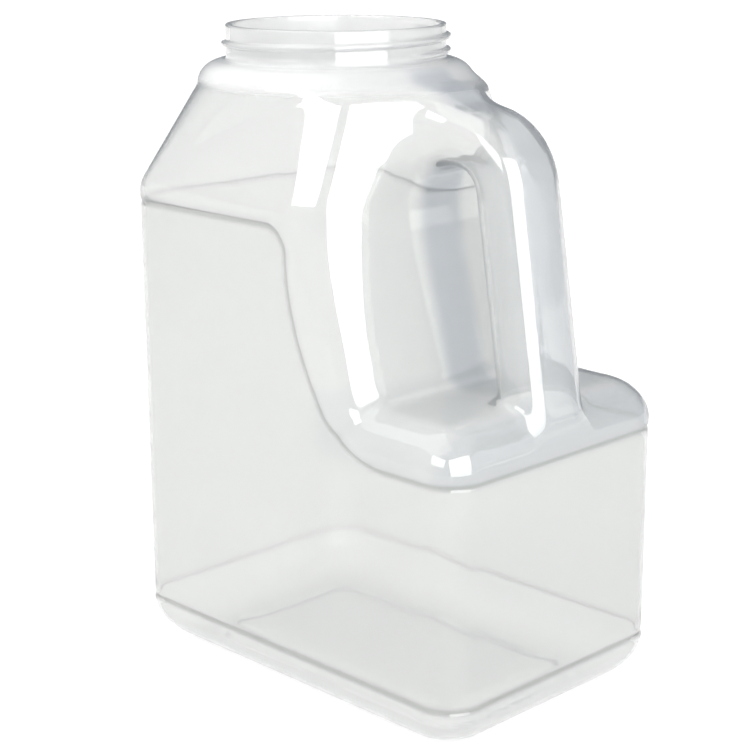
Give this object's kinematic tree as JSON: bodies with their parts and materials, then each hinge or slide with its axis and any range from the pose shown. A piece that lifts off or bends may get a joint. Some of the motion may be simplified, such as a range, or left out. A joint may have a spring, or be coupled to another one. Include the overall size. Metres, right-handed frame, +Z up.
{
  "type": "urine bottle",
  "caption": "Oblong wide-mouth bottle of clear plastic with a threaded neck, a stepped foot and a hollow side grip over an oval finger hole.",
  "frame": {"origin": "middle of the footprint, on the surface that the bottle stands on", "axes": "+X along the long side towards the grip, +Y across the bottle, +Z up towards the mouth"},
  "size_m": [0.167, 0.1124, 0.238],
  "materials": {
    "clear_plastic": "glossy, see-through, slightly hazy",
    "neck_plastic": "glossy, see-through, thicker and whiter than the walls"
  },
  "bodies": {
    "root": {"base_panel": "clear_plastic", "heel_left": "clear_plastic", "heel_right": "clear_plastic", "heel_rear": "clear_plastic", "heel_end": "clear_plastic", "rear_wall": "clear_plastic", "side_wall_left": "clear_plastic", "side_wall_right": "clear_plastic", "foot_wall_left": "clear_plastic", "foot_wall_right": "clear_plastic", "end_wall": "clear_plastic", "ledge": "clear_plastic", "front_wall": "clear_plastic", "shoulder_rear": "clear_plastic", "shoulder_left": "clear_plastic", "shoulder_right": "clear_plastic", "shoulder_front": "clear_plastic", "grip_handle": "clear_plastic", "grip_bridge": "clear_plastic", "neck_dome": "clear_plastic", "neck_finish": "neck_plastic"}
  },
  "joints": []
}
